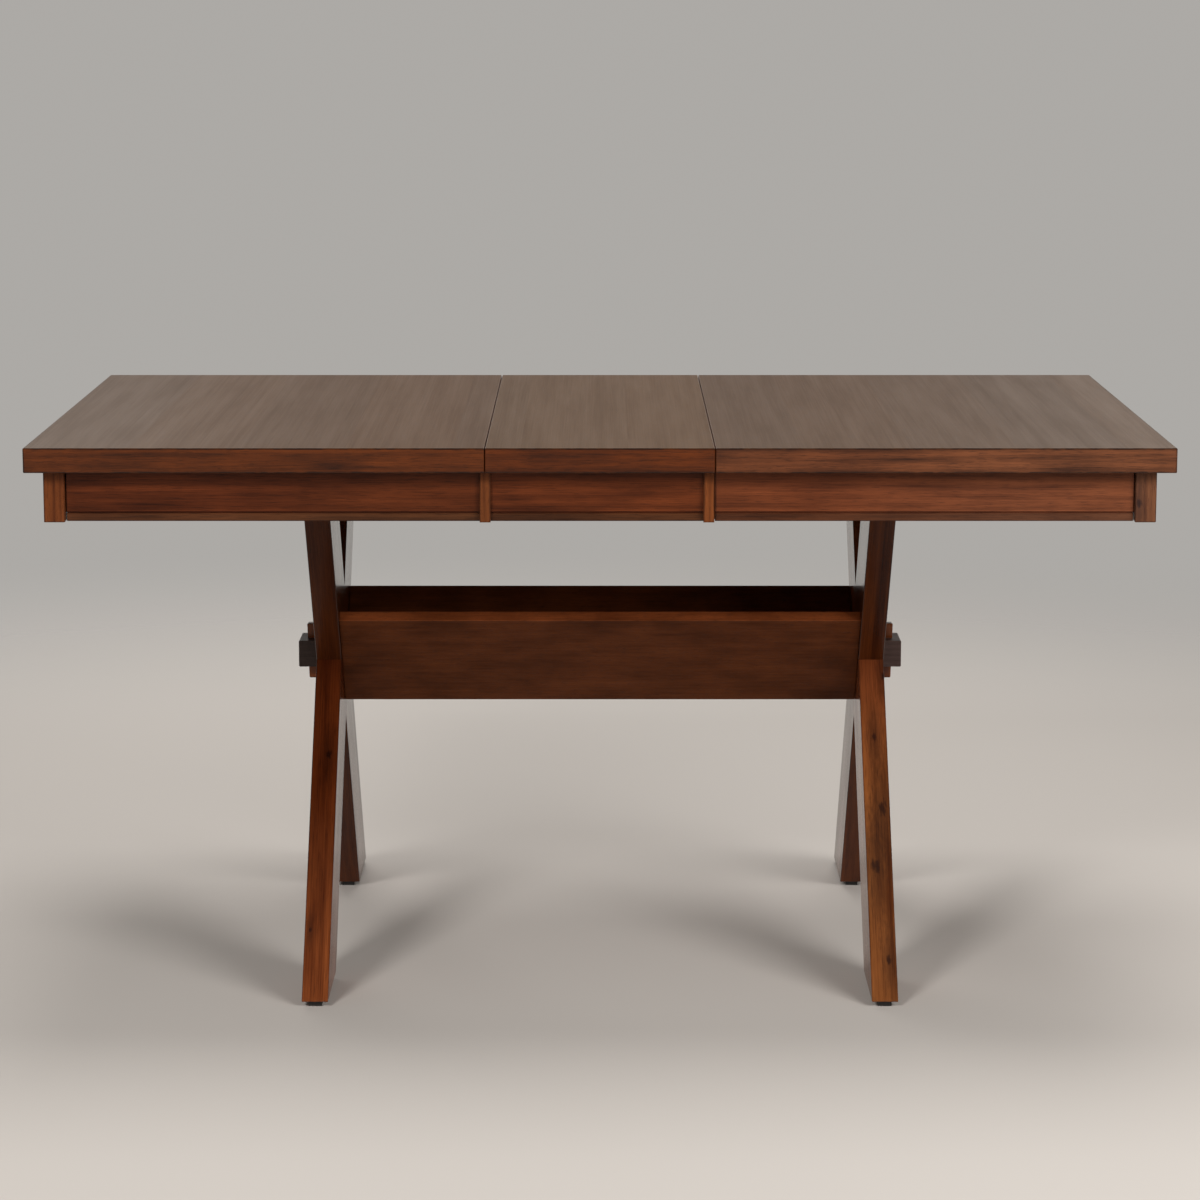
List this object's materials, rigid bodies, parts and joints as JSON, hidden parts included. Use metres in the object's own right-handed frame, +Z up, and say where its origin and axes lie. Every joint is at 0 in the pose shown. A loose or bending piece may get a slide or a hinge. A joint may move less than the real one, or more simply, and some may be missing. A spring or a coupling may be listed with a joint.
{
  "type": "extension dining table with X legs",
  "caption": "Sawbuck dining table in dark stained wood: X-shaped end legs, a V trough on a wedged stretcher, and a split top that slides apart for a lift-out leaf",
  "frame": {"origin": "on the floor under the middle of the table", "axes": "+X along the table to the viewer's right, +Y to the back, +Z up"},
  "size_m": [1.524, 0.914, 0.77],
  "materials": {
    "top_wood": "dark stained veneer under satin lacquer",
    "apron_wood": "red-brown stained wood under satin lacquer",
    "leg_wood": "brown stained solid wood under satin lacquer",
    "plain_wood": "bare hardwood of the hidden runners and blocks",
    "zinc_steel": "zinc plated steel",
    "dark_plastic": "dark moulded glide"
  },
  "bodies": {
    "base": {"bearer_bolts": "zinc_steel", "foot_glides": "dark_plastic", "front_rail": "plain_wood", "front_trough_board": "leg_wood", "glide_screws": "zinc_steel", "left_bearer": "plain_wood", "left_front_leg": "leg_wood", "left_rear_leg": "leg_wood", "left_wedge": "leg_wood", "rail_bolts": "zinc_steel", "rear_rail": "plain_wood", "rear_trough_board": "leg_wood", "right_bearer": "plain_wood", "right_front_leg": "leg_wood", "right_rear_leg": "leg_wood", "right_wedge": "leg_wood", "stretcher_beam": "leg_wood"},
    "leaf": {"leaf_battens": "plain_wood", "leaf_front_apron": "apron_wood", "leaf_front_stile": "apron_wood", "leaf_rear_apron": "apron_wood", "leaf_rear_stile": "apron_wood", "leaf_studs": "zinc_steel", "leaf_top": "top_wood"},
    "left_half": {"left_corner_blocks": "plain_wood", "left_cover_stile": "apron_wood", "left_end_apron": "apron_wood", "left_front_apron": "apron_wood", "left_front_post": "apron_wood", "left_front_slide": "plain_wood", "left_lock_pin": "zinc_steel", "left_lock_plate": "zinc_steel", "left_lock_screws": "zinc_steel", "left_rear_apron": "apron_wood", "left_rear_post": "apron_wood", "left_rear_slide": "plain_wood", "left_seam_strip": "apron_wood", "left_slide_stops": "plain_wood", "left_top": "top_wood", "left_top_screws": "zinc_steel"},
    "left_lock_lever": {"left_lock_lever": "zinc_steel"},
    "right_half": {"right_corner_blocks": "plain_wood", "right_cover_stile": "apron_wood", "right_end_apron": "apron_wood", "right_front_apron": "apron_wood", "right_front_post": "apron_wood", "right_front_slide": "plain_wood", "right_lock_pin": "zinc_steel", "right_lock_plate": "zinc_steel", "right_lock_screws": "zinc_steel", "right_rear_apron": "apron_wood", "right_rear_post": "apron_wood", "right_rear_slide": "plain_wood", "right_seam_strip": "apron_wood", "right_slide_stops": "plain_wood", "right_top": "top_wood", "right_top_screws": "zinc_steel"},
    "right_lock_lever": {"right_lock_lever": "zinc_steel"}
  },
  "joints": [
    {"name": "left_slide", "type": "slide", "parent": "base", "child": "left_half", "axis": [-1, 0, 0], "range_m": [0, 0.05]},
    {"name": "right_slide", "type": "slide", "parent": "base", "child": "right_half", "axis": [1, 0, 0], "range_m": [0, 0.05]},
    {"name": "leaf_lift", "type": "slide", "parent": "base", "child": "leaf", "axis": [0, 0, 1], "range_m": [0, 0.16]},
    {"name": "left_lock_turn", "type": "hinge", "parent": "left_half", "child": "left_lock_lever", "pos_m": [-0.179, 0, 0.731], "axis": [0, 0, 1], "range_deg": [0, 90]},
    {"name": "right_lock_turn", "type": "hinge", "parent": "right_half", "child": "right_lock_lever", "pos_m": [0.179, 0, 0.731], "axis": [0, 0, 1], "range_deg": [0, 90]}
  ]
}
